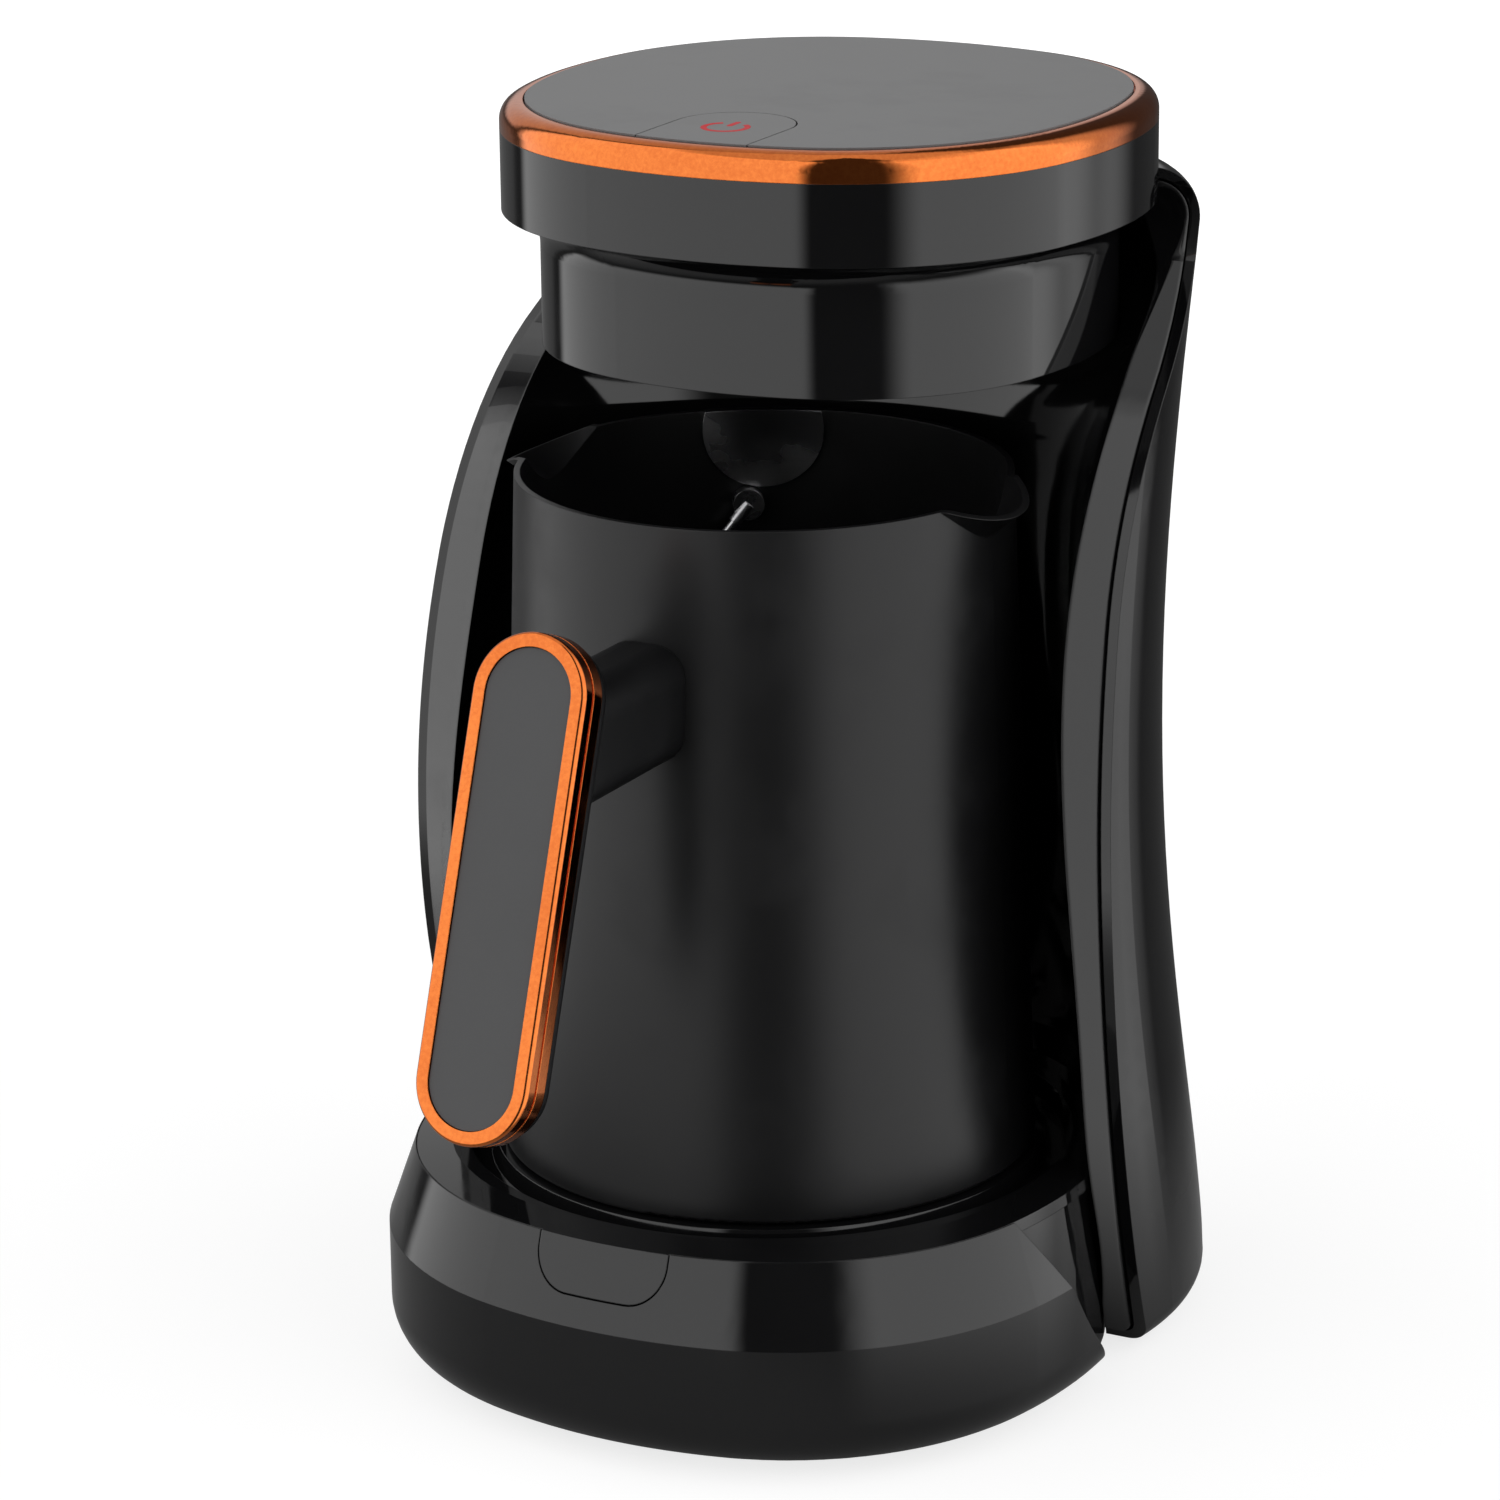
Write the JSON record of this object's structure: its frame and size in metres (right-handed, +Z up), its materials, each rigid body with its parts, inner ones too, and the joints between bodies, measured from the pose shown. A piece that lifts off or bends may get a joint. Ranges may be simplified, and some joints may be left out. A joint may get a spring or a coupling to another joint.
{
  "type": "electric Turkish coffee maker",
  "caption": "Electric pot coffee maker: lift-out cezve with a paddle handle on a round heated base, under a rounded head on a curved rear column, with a push button in the lid.",
  "frame": {"origin": "centre of the footprint of the whole machine, on the table", "axes": "+Z up, -Y out of the front where the handle points, +X to the right of someone who looks along +Y"},
  "size_m": [0.1468, 0.2124, 0.2339],
  "materials": {
    "black_gloss": "gloss black moulding",
    "black_satin": "satin black moulding",
    "lid_grey": "satin dark grey",
    "copper_trim": "copper-coloured metallised plastic",
    "pot_black": "matte black coating on steel",
    "grip_grey": "matte dark grey",
    "foot_rubber": "matte",
    "steel": "bright",
    "heat_aluminium": "as cast",
    "contact_brass": "plated contact",
    "board_green": "circuit board",
    "part_black": "electronic component",
    "led_red": "clear red"
  },
  "bodies": {
    "housing": {"base_shell": "black_gloss", "seat_ring": "black_gloss", "seat_dish": "black_gloss", "base_plate": "black_satin", "base_screws": "steel", "rubber_feet": "foot_rubber", "base_coupler": "black_satin", "contact_pins": "contact_brass", "head_shell": "black_gloss", "rear_shell": "black_gloss", "bay_liner": "black_gloss", "trim_ring": "copper_trim", "lid_plate": "lid_grey", "head_cover": "black_satin", "control_board": "board_green", "board_screws": "steel", "push_switch": "part_black", "buzzer": "part_black", "indicator_led": "led_red", "power_board": "board_green", "power_screws": "steel", "relay": "part_black", "cord_outlet": "black_satin"},
    "pot": {"pot_shell": "pot_black", "pot_base_cap": "black_satin", "pot_coupler": "black_satin", "heating_plate": "heat_aluminium", "heating_element": "steel", "electrode_plate": "steel", "electrode_pin": "steel", "handle_core": "black_satin", "handle_trim": "copper_trim", "handle_face": "grip_grey", "handle_bolt": "steel"},
    "button": {"power_button": "lid_grey"}
  },
  "joints": [
    {"name": "pot_draw_out", "type": "slide", "parent": "housing", "child": "pot", "axis": [0, -0.9945, 0.1045], "range_m": [0, 0.13]},
    {"name": "button_press", "type": "slide", "parent": "housing", "child": "button", "axis": [0, 0, -1], "range_m": [0, 0.0008], "stiffness_N_per_m": 300, "springref_m": -0.0005}
  ]
}
